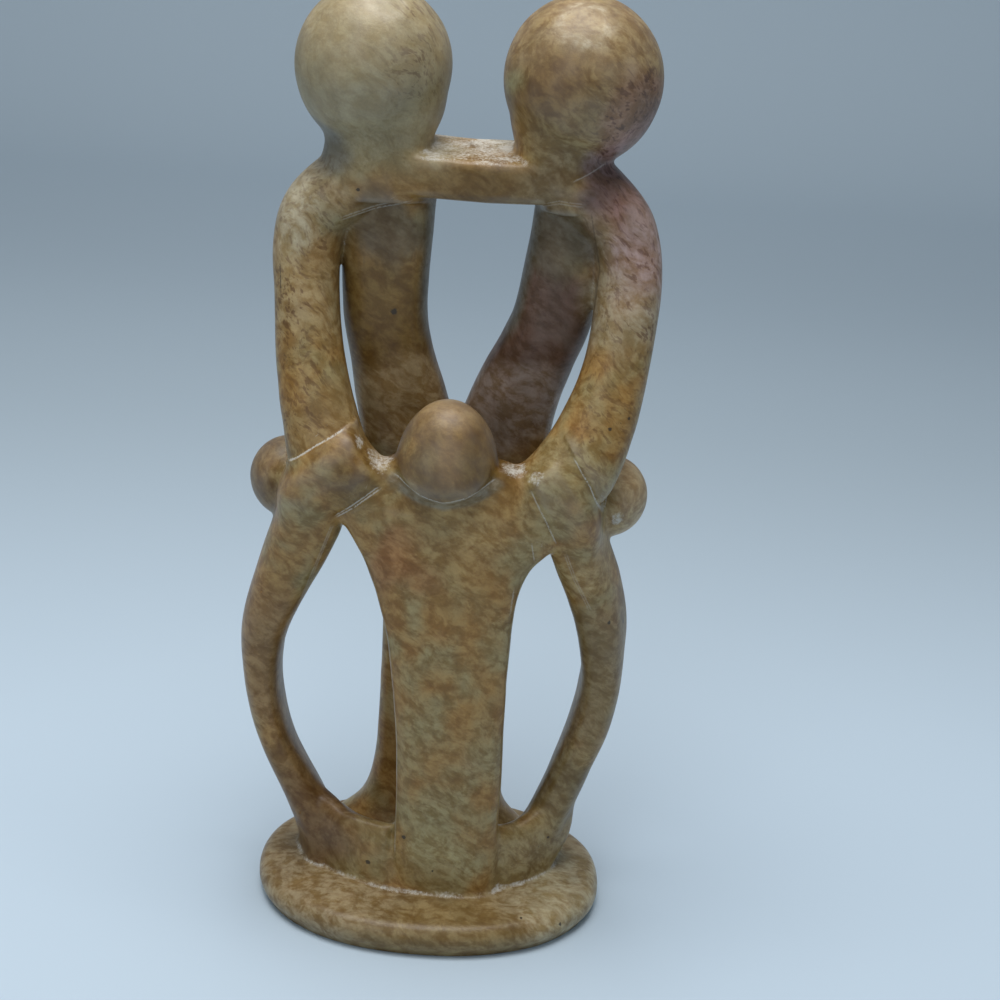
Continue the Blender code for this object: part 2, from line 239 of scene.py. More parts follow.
# Relief cut into the front, in layout units: the height of a step, or the depth and width of a
# groove, then the line it follows as x, z
CUT_FRONT = -10.0
CUT_FACING = -0.25
BANDS = (
    (0.45, ((-34.5, 104.4), (-24.0, 111.8))),
    (0.40, ((33.4, 97.5), (29.9, 104.2), (26.0, 110.0))),
)
BAND_EDGE = (-0.2, 0.5)
BAND_FADE = (1.5, 7.0)
CUTS = (
    (0.35, 0.7, ((-23.6, 93.0), (-19.7, 96.6), (-16.0, 99.9))),
    (0.30, 0.6, ((17.7, 101.6), (20.9, 95.9), (23.4, 90.7))),
    (0.45, 0.9, ((-11.2, 103.6), (-6.4, 99.6), (-1.0, 98.0), (4.4, 99.8), (9.2, 104.0))),
)

# Waves and small flats left by the tools, in metres
WAVE_HEIGHT = 0.00013
FLAT_HEIGHT = 0.00005

# Noises on the carving: seed, largest feature in metres, and how many sizes are added up; then
# how far two of them shift a place, in layout units and in millimetres
NOISES = {
    "waves": (3, 0.0095, 1),
    "flats": (5, 0.0040, 1),
    "gold and green": (21, 0.0060, 3),
    "cloud edges": (31, 0.0100, 2),
    "drift": (41, 0.0060, 2),
    "shade": (61, 0.0050, 3),
    "pattern": (65, 0.0080, 2),
    "dust grain": (71, 0.0024, 2),
    "dust patches": (75, 0.0060, 2),
    "stroke patches": (81, 0.0090, 2),
}
LATTICE_SIZE = 32
CLOUD_EDGE_REACH = 6.0
DRIFT_REACH = 1.9

# Scratches, with one line of painted highlight and one of painted shade among them: middle depth
# and its reach, strength (dark when negative), half the gap of a double one, then points as x, z
SCRATCHES_AND_PAINTED_LIGHT_LINES = (
    (-17.0, 4.0, 0.85, 0.00, ((-34.2, 104.6), (-29.0, 108.7), (-23.8, 111.9))),
    (-19.0, 4.0, 0.58, 0.28, ((-23.4, 93.2), (-19.6, 96.6), (-15.6, 99.9))),
    (-13.5, 8.0, 0.60, 0.00, ((26.5, 109.3), (29.9, 104.2), (33.6, 95.4))),
    (-12.0, 8.0, 0.42, 0.00, ((34.8, 103.6), (34.1, 95.6))),
    (-19.0, 4.0, 0.42, 0.00, ((17.9, 101.4), (20.9, 95.9), (23.3, 90.9))),
    (-3.5, 4.0, 0.36, 0.30, ((-25.7, 155.1), (-19.5, 157.5), (-12.6, 159.2))),
    (-4.5, 4.0, 0.30, 0.00, ((22.4, 166.9), (27.4, 169.5))),
    (-4.8, 4.0, 0.20, 0.30, ((15.1, 160.4), (19.0, 161.9), (23.4, 161.5))),
    (-12.5, 7.0, 0.24, 0.20, ((-25.2, 89.2), (-27.4, 82.4), (-31.8, 68.7))),
    (-14.5, 6.0, 0.20, 0.25, ((26.3, 86.4), (28.6, 80.3), (32.2, 73.0))),
    (-18.6, 4.0, 0.36, 0.00, ((18.6, 89.4), (19.2, 86.4))),
    (-18.0, 4.0, 0.36, 0.00, ((15.3, 78.0), (15.0, 73.6))),
    (-21.0, 5.0, 0.62, 0.00, ((-10.9, 103.3), (-6.0, 101.1), (-1.0, 99.8), (4.2, 101.3), (8.9, 103.7))),
    # Painted highlight down the front child's rounded left edge
    (-18.0, 3.0, 0.34, 0.00, ((-12.6, 66.0), (-9.8, 50.0), (-8.3, 32.0), (-7.8, 10.0))),
    (-6.2, 3.0, -0.80, 0.00, ((-38.8, 143.4), (-38.5, 139.4))),
    # Painted shade where the right arm's inner edge overlaps the back strip
    (-4.5, 5.0, -0.45, 0.00, ((26.1, 159.0), (28.8, 147.2), (28.1, 135.1))),
)
LINE_FAR = 9.0
LINE_REACH = 3.0
LINE_FADE = (1.6, 2.6)
LINE_TAPER = 1.2

# Rough pale patches: place and radius
PATCHES = (
    (-15.3, -15.0, 105.6, 4.2),
    (-20.4, -15.6, 109.2, 2.4),
    (13.6, -15.2, 105.6, 4.0),
    (18.4, -18.6, 105.0, 2.2),
    (36.8, -6.5, 91.8, 2.6),
    (-7.0, -2.5, 169.0, 2.4),
)
PATCH_DUST = 0.62
PATCH_EDGE = (0.30, 1.15)
PATCH_RAGGED = 1.6

# Where dust lies, and where edges are rubbed and carry a painted highlight: hollowness in metres, and
# zones in layout units
BEND_PASSES = 14
BEND_BLUR_PASSES = 2
HOLLOW = (0.00005, 0.00022)
RUBBED_SHEEN = (0.00006, 0.00020)
RUBBED_SHEEN_ABOVE = (24.0, 40.0)
HOLLOW_DUST = 0.30
HOLLOW_DUST_LIMIT = 0.52
FOOT_LINE = (-0.9, -0.1, 0.6, 1.8)
FOOT_LINE_BACK = 10.0
FOOT_LINE_MIDDLE = 3.0
FOOT_LINE_SIDES = (6.0, 14.0)
BAR_TOP_SIDES = (-12.0, -9.5, 12.0, 15.0)
BAR_TOP_HEIGHTS = (167.5, 168.6, 174.0, 177.0)
BAR_TOP_BACK = (0.0, 5.0)

# Dark pits: place and radius
PITS = (
    (-23.0, -5.7, 161.7, 0.42),
    (37.1, -10.5, 68.8, 0.50),
    (40.6, -4.6, 66.6, 0.55),
    (33.2, -15.7, 116.2, 0.40),
    (37.2, -13.6, 118.2, 0.36),
    (-5.7, -17.8, 14.5, 0.52),
    (-13.9, -15.3, 5.6, 0.60),
    (1.4, -18.8, 6.6, 0.32),
    (22.4, -23.5, -1.4, 0.40),
    (27.7, -7.2, 10.7, 0.36),
    (31.6, -20.9, -4.0, 0.42),
    (-14.7, 0.7, 134.0, 0.70),
)
PIT_REACH = 2.6
PIT_FAR = 9.0

# Colour clouds in the block, three of them painted light: place, radius, softness, colour
CLOUD_SHARE = 0.90
CLOUDS_AND_PAINTED_LIGHT = (
    ((20.0, 0.0, 190.0), 19.0, 6.0, (0.235, 0.155, 0.056)),
    ((14.0, -11.0, 187.0), 8.0, 5.0, (0.180, 0.098, 0.022)),
    ((7.0, -4.0, 187.0), 5.0, 5.0, (0.270, 0.240, 0.110)),
    ((22.0, -12.0, 199.0), 7.0, 6.0, (0.330, 0.250, 0.120)),
    ((37.0, -4.0, 181.0), 10.0, 7.0, (0.270, 0.150, 0.085)),
    ((-22.0, 0.0, 186.0), 24.0, 8.0, (0.310, 0.255, 0.138)),
    ((-37.0, 0.0, 156.0), 11.0, 8.0, (0.380, 0.325, 0.200)),
    ((-35.0, -2.0, 137.0), 11.0, 9.0, (0.345, 0.243, 0.108)),
    ((-28.0, -10.0, 112.0), 10.0, 8.0, (0.262, 0.178, 0.070)),
    ((2.0, -3.0, 164.0), 11.0, 5.0, (0.190, 0.112, 0.034)),
    ((16.0, -4.0, 166.0), 6.0, 5.0, (0.205, 0.145, 0.066)),
    ((-15.0, 20.0, 128.0), 25.0, 6.0, (0.200, 0.114, 0.026)),
    ((-17.0, 2.0, 153.0), 9.0, 6.0, (0.150, 0.104, 0.050)),
    # Painted light lifting the shade low on the left back strip, beside the front child's head
    ((-11.0, 9.0, 113.0), 13.0, 6.0, (0.430, 0.300, 0.140)),
    ((20.0, 22.0, 132.0), 27.0, 7.0, (0.120, 0.062, 0.042)),
    ((21.0, 1.0, 153.0), 9.0, 6.0, (0.118, 0.090, 0.052)),
    # Painted light lifting the shade low on the right back strip, beside the front child's head
    ((12.0, 9.0, 113.0), 13.0, 6.0, (0.310, 0.232, 0.170)),
    ((41.0, 0.0, 166.0), 16.0, 8.0, (0.235, 0.128, 0.104)),
    ((39.0, 0.0, 151.0), 12.0, 7.0, (0.360, 0.250, 0.205)),
    ((27.0, -5.0, 167.0), 5.0, 5.0, (0.135, 0.084, 0.070)),
    ((36.0, -3.0, 136.0), 10.0, 8.0, (0.345, 0.275, 0.165)),
    ((-1.0, -14.0, 105.0), 13.0, 4.0, (0.132, 0.070, 0.012)),
    ((-1.0, -14.0, 120.0), 8.0, 6.0, (0.262, 0.163, 0.056)),
    ((-9.0, -17.0, 83.0), 6.0, 4.0, (0.300, 0.145, 0.045)),
    ((3.0, -18.0, 91.0), 9.0, 8.0, (0.335, 0.215, 0.074)),
    ((-23.0, -16.0, 103.0), 8.0, 6.0, (0.185, 0.112, 0.030)),
    ((-36.6, 2.0, 94.0), 10.0, 5.0, (0.155, 0.097, 0.036)),
    # Painted light: the right child's head lightened as if lit on that side
    ((35.2, 2.0, 95.0), 10.0, 5.0, (0.450, 0.320, 0.150)),
    ((-40.0, 0.0, 56.0), 21.0, 10.0, (0.262, 0.155, 0.058)),
    ((30.0, -9.0, 84.0), 9.0, 7.0, (0.350, 0.240, 0.095)),
    ((37.0, 0.0, 54.0), 20.0, 10.0, (0.230, 0.162, 0.070)),
    ((-33.0, 0.0, 22.0), 13.0, 8.0, (0.212, 0.124, 0.042)),
    ((31.0, 0.0, 22.0), 12.0, 8.0, (0.195, 0.145, 0.062)),
    ((3.0, -18.0, 12.0), 9.0, 8.0, (0.300, 0.245, 0.108)),
    ((-25.0, -5.0, 7.0), 12.0, 8.0, (0.158, 0.086, 0.030)),
    ((22.0, -8.0, 7.0), 11.0, 8.0, (0.275, 0.205, 0.085)),
    ((-29.0, 0.0, 168.0), 7.0, 5.0, (0.160, 0.146, 0.110)),
)

# Clouds of the base, and the heights between which it gives way to the figures
BASE_CLOUDS = (
    ((4.0, -36.0, -5.0), 20.0, 14.0, (0.210, 0.146, 0.055)),
    ((36.0, -10.0, -2.0), 18.0, 12.0, (0.365, 0.310, 0.180)),
)
BASE_TOP = (0.0, 1.2)

# Pale rings in the stone: centre and radius
RINGS = (
    ((21.5, -5.0, 198.5), 5.0),
    ((-19.0, -4.0, 200.5), 3.8),
)
RING_SHARE = 0.42
RING_WIDTH = 1.1
RING_RAGGED = 0.12

# Painted grey shade in the groove under the front child's chin, and a grey tone on the back strips'
# inner edges
CHIN = ((-12.0, 102.4), (-6.2, 99.6), (-1.0, 98.2), (4.4, 99.8), (10.0, 102.8))
CHIN_EDGE = (0.9, 1.9)
CHIN_FRONT = -14.0
INNER_HEIGHTS = (124.0, 134.0, 158.0, 162.0)
INNER_FACING = (0.55, 0.90)
INNER_REACH = 17.0
SHADE_AND_GREY_SHARE = 0.8

# Colours of the stone and of what lies on it; tints multiply the stone under them
GOLD = (0.310, 0.178, 0.050)
GREEN = (0.278, 0.212, 0.088)
BASE_STONE = (0.285, 0.215, 0.109)
RING_TONE = (0.500, 0.450, 0.330)
# Painted shade under the front child's chin
CHIN_SHADE_TONE = (0.215, 0.180, 0.115)
INNER_TONE = (0.185, 0.165, 0.118)
DARK_TINT = (0.76, 0.65, 0.48)
PALE_TINT = (1.26, 1.31, 1.48)
VEIN = (0.62, 0.48, 0.34)
STROKE = (0.47, 0.37, 0.35)
DARK_SPECK = (0.78, 0.78, 0.78)
PALE_SPECK = (1.22, 1.22, 1.22)
# Pale dust, also the colour of the painted highlights on edges
DUST_AND_SHEEN = (0.60, 0.585, 0.53)
# Dark of the pits and cracks, also of the painted shade line
PIT_AND_SHADE = (0.045, 0.032, 0.020)

# Strength of the pattern, added to on the heads: centre, radii where that fades and ends, amount
PATTERN = 0.86
PATTERN_PATCHES = 0.35
PATTERN_HEADS = (
    ((22.0, 0.0, 186.0), (18.0, 24.0), 0.20),
    ((-22.0, 0.0, 184.0), (18.0, 28.0), -0.42),
    ((-1.0, -14.0, 106.0), (12.0, 16.0), -0.10),
)
PATTERN_UPPER = (106.0, 116.0)
PATTERN_UPPER_STRENGTH = -0.10
PATTERN_BASE_SIDE = (-22.0, 8.0)
PATTERN_BASE_TOP = (0.0, 2.0)
PATTERN_BASE_STRENGTH = 0.30

# Stone pattern: noises as scale per millimetre, detail and roughness; tilts in degrees, falling to
# the right when negative
MOTTLE_NOISE = (0.46, 3.0, 0.62)
MOTTLE_TILT = -30.0
MOTTLE_STRETCH = 1.7
MOTTLE_EDGE = (0.36, 0.64)
NET_SCALE = 0.30
NET_WIDTH = 0.15
NET_SHARE = 0.34
STROKE_NOISE = (0.95, 2.0, 0.6)
STROKE_TILT = -44.0
STROKE_STRETCH = 3.2
STROKE_EDGE = (0.52, 0.64)
GRAIN_NOISE = (1.7, 2.0, 0.7)
LINE_WIDTH = (0.24, 0.04)
LINE_WOBBLE = 0.45
LINE_BREAKS = (0.28, 0.50)
DUST_EDGE = (0.22, 0.85)
DUST_START = (0.03, 0.25)
DUST_SPECKLE = 1.1
DUST_SHARE = 0.9
# How much rubbed edges, with their painted highlight, lighten the stone
RUBBED_SHEEN_SHARE = 0.16
PIT_EDGE = (1.25, 0.70)
PIT_RAGGED = 1.2
PIT_SHARE = 0.9

# Waxed surface
ROUGHNESS = 0.37
ROUGHNESS_SWING = 0.14
DUST_ROUGHNESS = 0.38
SPECULAR = 0.38
GRAIN_STRENGTH = 0.40
GRAIN_HEIGHT = 0.00010

# Studio paper, with painted shade where it runs back and painted light up the wall
PAPER = (0.530, 0.650, 0.765)
PAPER_SHADED_BEHIND = (0.415, 0.510, 0.590)
PAPER_LIT_WALL = (0.610, 0.730, 0.820)
PAPER_SHADE_DEEPENS = (0.0, 0.36)
PAPER_RISES = (0.50, 1.05)
PAPER_HALF_WIDTH = 2.4
PAPER_FRONT = -1.6
PAPER_BACK = 0.75
PAPER_BEND = 0.45
PAPER_HEIGHT = 1.4
PAPER_STEPS = 24

# Lamps: name, place, target, size, watts, colour; then the dim surroundings
LAMPS = (
    ("overhead", (-0.05, -0.05, 0.80), (0.0, 0.0, 0.0), 0.55, 6.2, (1.0, 0.97, 0.93)),
    ("front", (-0.4, -1.1, 0.7), (0.0, 0.0, 0.1), 0.70, 2.0, (0.94, 0.97, 1.0)),
)
SURROUNDINGS = (0.78, 0.88, 1.0, 1.0)
SURROUNDINGS_STRENGTH = 0.22

# Camera of the photograph: 72 mm lens on a 36 mm square sensor, turned a little on its axis
LENS = 72.0
SENSOR = 36.0
CAMERA_PLACE = Vector((0.01098, -0.41650, 0.26519))
PITCH = math.radians(21.5)
ROLL = math.radians(3.933)


def signed_power(value, exponent):
    """Power that keeps the sign, for superellipses."""
    return math.copysign(abs(value) ** exponent, value)


def on_figures(x, y, z):
    """A layout place above the base, in metres."""
    return Vector((x * UNIT, y * UNIT, BASE_THICKNESS + z * UNIT))


def between(stations, span, part):
    """Catmull-Rom value of every column between two stations."""
    last = len(stations) - 1
    before = stations[max(span - 1, 0)]
    start = stations[span]
    end = stations[span + 1]
    after = stations[min(span + 2, last)]
    values = []
    for p0, p1, p2, p3 in zip(before, start, end, after):
        slope_in = (p2 - p0) / 2
        slope_out = (p3 - p1) / 2
        square = part * part
        cube = square * part
        values.append(
            (2 * cube - 3 * square + 1) * p1
            + (cube - 2 * square + part) * slope_in
            + (3 * square - 2 * cube) * p2
            + (cube - square) * slope_out
        )
    return values


def along(stations):
    """Smooth samples through the stations, ends included."""
    samples = []
    for span in range(len(stations) - 1):
        for step in range(STEPS_PER_SPAN):
            samples.append(between(stations, span, step / STEPS_PER_SPAN))
    samples.append(list(stations[-1]))
    return samples


def skin(mesh, rings):
    """Faces between rings of equal length, closed at both ends."""
    count = len(rings[0])
    for first, second in zip(rings, rings[1:]):
        for index in range(count):
            after = (index + 1) % count
            mesh.faces.new((first[index], first[after], second[after], second[index]))
    mesh.faces.new(list(reversed(rings[0])))
    mesh.faces.new(rings[-1])


def loft(mesh, stations, power, reference=Vector((1.0, 0.0, 0.0)), level=False):
    """Closed limb through the stations, its width along the reference direction.

    Level rings lie flat, for upright bodies whose middle wanders sideways.
    """
    samples = along(stations)
    centres = [on_figures(*sample[:3]) for sample in samples]
    rings = []
    for index, sample in enumerate(samples):
        ahead = centres[min(index + 1, len(centres) - 1)]
        behind = centres[max(index - 1, 0)]
        tangent = Vector((0.0, 0.0, -1.0)) if level else (ahead - behind).normalized()
        across = (reference - tangent * reference.dot(tangent)).normalized()
        deep = tangent.cross(across)
        turn = math.radians(sample[5])
        turned = across * math.cos(turn) + deep * math.sin(turn)
        upright = deep * math.cos(turn) - across * math.sin(turn)
        ring = []
        for point in range(SECTION_POINTS):
            angle = 2 * math.pi * point / SECTION_POINTS
            u = signed_power(math.cos(angle), 2 / power) * sample[3] * UNIT
            v = signed_power(math.sin(angle), 2 / power) * sample[4] * UNIT
            ring.append(mesh.verts.new(centres[index] + turned * u + upright * v))
        rings.append(ring)
    skin(mesh, rings)


def mirrored(stations):
    """The same stations on the other side of the group."""
    return [(-row[0],) + tuple(row[1:5]) + (-row[5],) for row in stations]


def ball(mesh, x, y, z, half_width, half_depth, above, below):
    """An egg-shaped head, widest at its given place."""
    made = bmesh.ops.create_uvsphere(mesh, u_segments=HEAD_SEGMENTS, v_segments=HEAD_RINGS, radius=1.0)
    centre = on_figures(x, y, z)
    for vertex in made["verts"]:
        vertex.co.x = centre.x + vertex.co.x * half_width * UNIT
        vertex.co.y = centre.y + vertex.co.y * half_depth * UNIT
        reach = above if vertex.co.z > 0 else below
        vertex.co.z = centre.z + vertex.co.z * reach * UNIT


def base_profile():
    """Inset from the outline and height, from the root up over the rounded rim."""
    half = (BASE_THICKNESS - RIM_DROP) / 2
    foot_inset = half * (1 - math.cos(RIM_START))
    points = [(foot_inset, -ROOT_DEPTH), (foot_inset, 0.0)]
    for index in range(1, RIM_STEPS + 1):
        angle = RIM_START + (math.pi / 2 - RIM_START) * index / RIM_STEPS
        points.append((half * (1 - math.cos(angle)), half * (1 + math.sin(angle))))
    points.append((RIM_RUN, BASE_THICKNESS))
    points.append((CROWN_RUN, BASE_THICKNESS + RIM_DROP / 2))
    return points


def base_disc(mesh):
    """The oval base, lathed as a superellipse with its root below the floor."""
    rings = []
    for inset, height in base_profile():
        ring = []
        for index in range(OUTLINE_POINTS):
            angle = 2 * math.pi * index / OUTLINE_POINTS
            x = signed_power(math.cos(angle), 2 / OUTLINE_POWER) * (BASE_WIDTH / 2 - inset)
            y = signed_power(math.sin(angle), 2 / OUTLINE_POWER) * (BASE_DEPTH / 2 - inset)
            ring.append(mesh.verts.new((x, y, height)))
        rings.append(ring)
    skin(mesh, rings)


def foot_wall(mesh):
    """Flared wall round the front half of the base, from one side child's foot to the other's."""
    start = math.radians(180 + FOOT_WALL_START)
    sweep = math.radians(180 - 2 * FOOT_WALL_START)
    top = BASE_THICKNESS + FOOT_WALL_HEIGHT
    bottom = BASE_THICKNESS / 2
    outer_top = FOOT_FLARE + FOOT_WALL_THICKNESS
    rings = []
    profile = (
        (outer_top, bottom),
        (0.0, bottom),
        (0.0, BASE_THICKNESS),
        (FOOT_FLARE, top),
        (outer_top, top),
    )
    for index in range(FOOT_WALL_STEPS + 1):
        angle = start + sweep * index / FOOT_WALL_STEPS
        corners = []
        for inset, height in profile:
            x = signed_power(math.cos(angle), 2 / FOOT_POWER) * (FOOT_WIDTH / 2 - inset)
            y = signed_power(math.sin(angle), 2 / FOOT_POWER) * (FOOT_REACH - inset)
            corners.append(mesh.verts.new((x, FOOT_MIDDLE + y, height)))
        rings.append(corners)
    skin(mesh, rings)


def rough_block():
    """Every limb, head and the base as overlapping bodies in one object."""
    upright = Vector((0.0, 0.0, 1.0))
    mesh = bmesh.new()
    loft(mesh, LEFT_ARM, ARM_POWER)
    loft(mesh, RIGHT_ARM, ARM_POWER)
    loft(mesh, LEFT_BACK, STRIP_POWER)
    loft(mesh, RIGHT_BACK, STRIP_POWER)
    loft(mesh, BACK_BODY, STRIP_POWER, level=True)
    loft(mesh, FRONT_BODY, STRIP_POWER, level=True)
    loft(mesh, LEFT_CHILD, STRIP_POWER)
    loft(mesh, RIGHT_CHILD, STRIP_POWER)
    loft(mesh, SIDE_SHOULDER, ARM_POWER, upright)
    loft(mesh, mirrored(SIDE_SHOULDER), ARM_POWER, upright)
    loft(mesh, FOOT_SADDLE, ARM_POWER, upright)
    loft(mesh, mirrored(FOOT_SADDLE), ARM_POWER, upright)
    loft(mesh, LEFT_CHEST, ARM_POWER, level=True)
    loft(mesh, RIGHT_CHEST, ARM_POWER, level=True)
    loft(mesh, BAR, BAR_POWER, Vector((0.0, 1.0, 0.0)))
    for head in HEADS:
        ball(mesh, *head)
    base_disc(mesh)
    foot_wall(mesh)
    bmesh.ops.recalc_face_normals(mesh, faces=mesh.faces)
    data = bpy.data.meshes.new("block")
    mesh.to_mesh(data)
    mesh.free()
    block = bpy.data.objects.new("block", data)
    bpy.context.scene.collection.objects.link(block)
    return block


def take_modifiers(item):
    """Make the modifiers' result the object's own mesh."""
    graph = bpy.context.evaluated_depsgraph_get()
    made = bpy.data.meshes.new_from_object(item.evaluated_get(graph))
    item.modifiers.clear()
    old = item.data
    item.data = made
    bpy.data.meshes.remove(old)


def points_of(data):
    """Vertex places as an array."""
    flat = np.empty(len(data.vertices) * 3)
    data.vertices.foreach_get("co", flat)
    return flat.reshape(-1, 3)


def normals_of(data):
    """Vertex normals as an array."""
    flat = np.empty(len(data.vertices) * 3)
    data.vertex_normals.foreach_get("vector", flat)
    return flat.reshape(-1, 3)


def set_points(data, points):
    """Move the vertices, none below the underside."""
    points[:, 2] = np.maximum(points[:, 2], 0.0)
    data.vertices.foreach_set("co", points.ravel())
    data.update()


def neighbours(data):
    """Both ends of every edge, and each vertex's count of edges."""
    pairs = np.empty(len(data.edges) * 2, dtype=np.int64)
    data.edges.foreach_get("vertices", pairs)
    first, second = pairs.reshape(-1, 2).T
    count = len(data.vertices)
    degree = np.bincount(first, minlength=count) + np.bincount(second, minlength=count)
    return first, second, degree


def spread(values, links):
    """Mean of each vertex's neighbours, column by column."""
    first, second, degree = links
    count = len(degree)
    columns = []
    for column in values.T:
        total = np.bincount(first, column[second], count)
        total += np.bincount(second, column[first], count)
        columns.append(total / degree)
    return np.stack(columns, axis=1)


def relax(points, links, passes, share):
    """Laplacian smoothing, each vertex by its own share from 0 to 1."""
    for _ in range(passes):
        points = points + (spread(points, links) - points) * share[:, None]
    return points


def lattice(seed):
    """Random values on a grid that repeats."""
    return np.random.default_rng(seed).random((LATTICE_SIZE,) * 3) * 2 - 1


def lumps(points, table, feature):
    """Smooth noise from -1 to 1 with lumps about one feature across."""
    cell = points / feature
    low = np.floor(cell).astype(int)
    part = cell - low
    part = part * part * (3 - 2 * part)
    total = np.zeros(len(points))
    for corner in np.ndindex(2, 2, 2):
        index = (low + corner) % len(table)
        weight = np.prod(np.where(corner, part, 1 - part), axis=1)
        total += weight * table[index[:, 0], index[:, 1], index[:, 2]]
    return total


def fractal(points, seed, feature, levels):
    """Lumps of several sizes, each half the size and strength of the one before, from -1 to 1."""
    total = np.zeros(len(points))
    for level in range(levels):
        total += lumps(points, lattice(seed + level), feature / 2 ** level) / 2 ** level
    return total / (2 - 2.0 ** (1 - levels))


def drifts(points, seed, feature, levels):
    """Three independent fractals as a vector per vertex."""
    columns = [fractal(points, seed + 10 * axis, feature, levels) for axis in range(3)]
    return np.stack(columns, axis=1)


def in_layout(points):
    """World points in layout units above the base."""
    return (points - np.array((0.0, 0.0, BASE_THICKNESS))) / UNIT


def ramp(values, low, high):
    """Smooth step from 0 at low to 1 at high."""
    part = np.clip((values - low) / (high - low), 0.0, 1.0)
    return part * part * (3 - 2 * part)


def fall(values, low, high):
    """Smooth step from 1 at low to 0 at high."""
    return 1 - ramp(values, low, high)


def within(values, edges):
    """1 between the inner two of four edges, 0 outside the outer two."""
    low, low_full, high_full, high = edges
    return ramp(values, low, low_full) * fall(values, high_full, high)


def away(places, centre):
    """Distance of every place from a centre."""
    return np.linalg.norm(places - np.array(centre), axis=1)


def mixed(colour, tone, share):
    """Colours moved towards a tone by a share per vertex."""
    share = share[:, None]
    return colour * (1 - share) + tone * share


def to_line(x, z, line):
    """Distance in front view from a line through points, and the side: positive to its right."""
    best = np.full(len(x), 1e9)
    side = np.zeros(len(x))
    for (x0, z0), (x1, z1) in zip(line, line[1:]):
        run = x1 - x0
        rise = z1 - z0
        length = math.hypot(run, rise)
        part = np.clip(((x - x0) * run + (z - z0) * rise) / length ** 2, 0.0, 1.0)
        gap = np.hypot(x - x0 - part * run, z - z0 - part * rise)
        beside = ((x - x0) * rise - (z - z0) * run) / length
        nearer = gap < best
        best = np.where(nearer, gap, best)
        side = np.where(nearer, beside, side)
    return best, side


def cut_marks(layout, normals):
    """Height of the arm bands' steps and the carver's grooves, on the front alone."""
    x, y, z = layout.T
    front = (y < CUT_FRONT) & (normals[:, 1] < CUT_FACING)
    height = np.zeros(len(x))
    for rise, line in BANDS:
        gap, side = to_line(x, z, line)
        height += rise * ramp(side, *BAND_EDGE) * fall(gap, *BAND_FADE)
    for depth, width, line in CUTS:
        gap, _ = to_line(x, z, line)
        height -= depth * np.exp(-(gap / width) ** 2)
    return height * front * UNIT


def unevenness(points):
    """Slow waves and small flats left by rasp and sandpaper."""
    waves = WAVE_HEIGHT * fractal(points, *NOISES["waves"])
    flats = FLAT_HEIGHT * fractal(points, *NOISES["flats"])
    return waves + flats


def smoothed(data):
    """The skin's places after smoothing, most at the feet, the arms' joints and the necks."""
    links = neighbours(data)
    points = points_of(data)
    x, _, z = in_layout(points).T
    zones = [SMOOTH_SHARE * within(z, heights) * ramp(np.abs(x), *sides)
             for heights, sides in (FEET, JOINTS, NECKS)]
    points = relax(points, links, SMOOTH_PASSES, np.full(len(points), SMOOTH_SHARE))
    return relax(points, links, ZONE_PASSES, np.maximum.reduce(zones))


def carve():
    """The finished skin of the carving."""
    block = rough_block()
    fuse = block.modifiers.new("fuse", "REMESH")
    fuse.mode = "VOXEL"
    fuse.voxel_size = VOXEL
    take_modifiers(block)
    data = block.data
    points = smoothed(data)
    set_points(data, points)
    normals = normals_of(data)
    height = unevenness(points) + cut_marks(in_layout(points), normals)
    set_points(data, points + normals * height[:, None])
    thin = block.modifiers.new("thin", "DECIMATE")
    thin.ratio = TRIANGLE_TARGET / (2 * len(data.polygons))
    take_modifiers(block)
    set_points(block.data, points_of(block.data))
    block.name = PIECE
    block.data.name = PIECE
    block.data.shade_smooth()
    wear_and_sheen(block.data)
    return block


def bend_of(data, points, normals):
    """How far each vertex lies in a hollow, or out on an edge when negative, in metres."""
    links = neighbours(data)
    share = np.full(len(points), SMOOTH_SHARE)
    soft = relax(points, links, BEND_PASSES, share)
    bend = np.sum((soft - points) * normals, axis=1)[:, None]
    return relax(bend, links, BEND_BLUR_PASSES, share)[:, 0]


def dust_of(points, normals, bend):
    """Pale dust: broken lines in the cuts, chalk along the foot, rough patches, the bar's top."""
    layout = in_layout(points)
    x, y, z = layout.T
    grain = fractal(points, *NOISES["dust grain"])
    broad = fractal(points, *NOISES["dust patches"])
    hollow = ramp(bend, *HOLLOW) * (0.75 + 0.60 * broad)
    foot = within(z, FOOT_LINE) * (y < FOOT_LINE_BACK)
    outward = ramp(np.abs(x - FOOT_LINE_MIDDLE), *FOOT_LINE_SIDES)
    foot *= 0.12 + 0.22 * outward + 0.45 * broad + 0.30 * grain
    dust = np.minimum(hollow * (HOLLOW_DUST + foot), HOLLOW_DUST_LIMIT)
    for px, py, pz, radius in PATCHES:
        gap = away(layout, (px, py, pz)) + PATCH_RAGGED * grain
        patch = PATCH_DUST * fall(gap, PATCH_EDGE[0] * radius, PATCH_EDGE[1] * radius)
        dust = np.maximum(dust, patch)
    bar = within(x, BAR_TOP_SIDES) * within(z, BAR_TOP_HEIGHTS) * ramp(normals[:, 2], 0.3, 0.8)
    bar *= 0.46 + 0.12 * ramp(y, *BAR_TOP_BACK) + 0.30 * grain
    dust = np.maximum(dust, bar)
    return np.clip(dust * (1 + 0.5 * grain), 0.0, 1.0)


